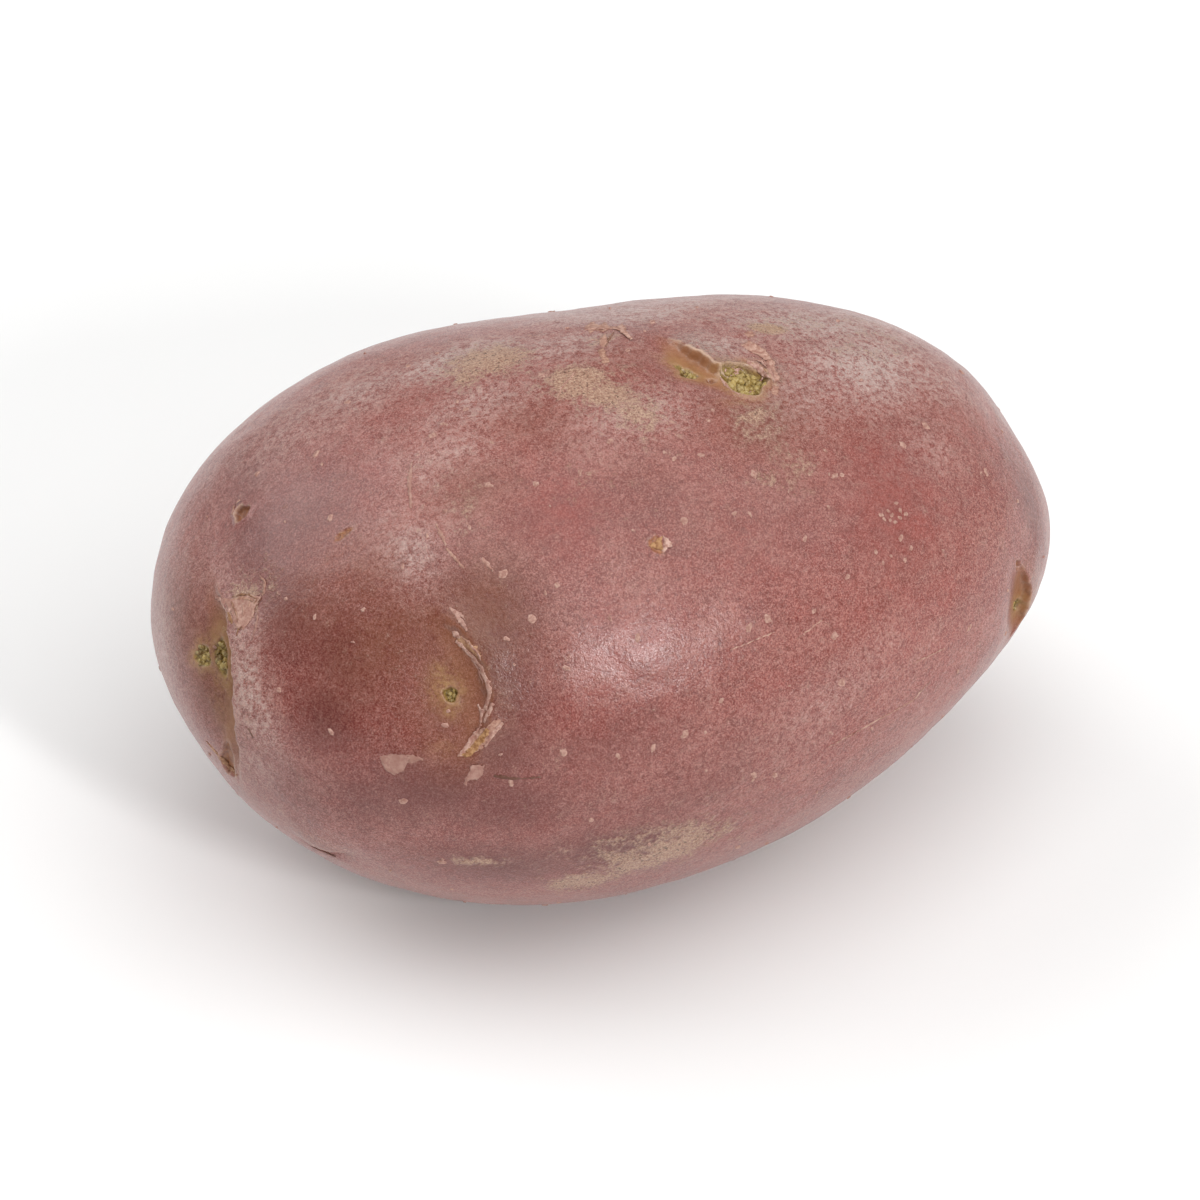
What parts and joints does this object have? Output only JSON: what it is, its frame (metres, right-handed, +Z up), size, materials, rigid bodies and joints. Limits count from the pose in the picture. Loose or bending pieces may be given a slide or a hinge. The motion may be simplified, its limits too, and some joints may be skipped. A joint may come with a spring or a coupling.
{
  "type": "potato",
  "caption": "Long oval red-skinned potato lying on its side, with browed eyes, a stolon scar and a small flat rest spot.",
  "frame": {"origin": "middle of the potato's footprint, on the surface that it rests on", "axes": "+X along the potato towards its heel, the stolon end; -X towards the rose end; +Y away from the side shown in the picture; +Z up"},
  "size_m": [0.0938, 0.0638, 0.0553],
  "materials": {
    "skin": "matte"
  },
  "bodies": {
    "root": {"potato": "skin"}
  },
  "joints": []
}
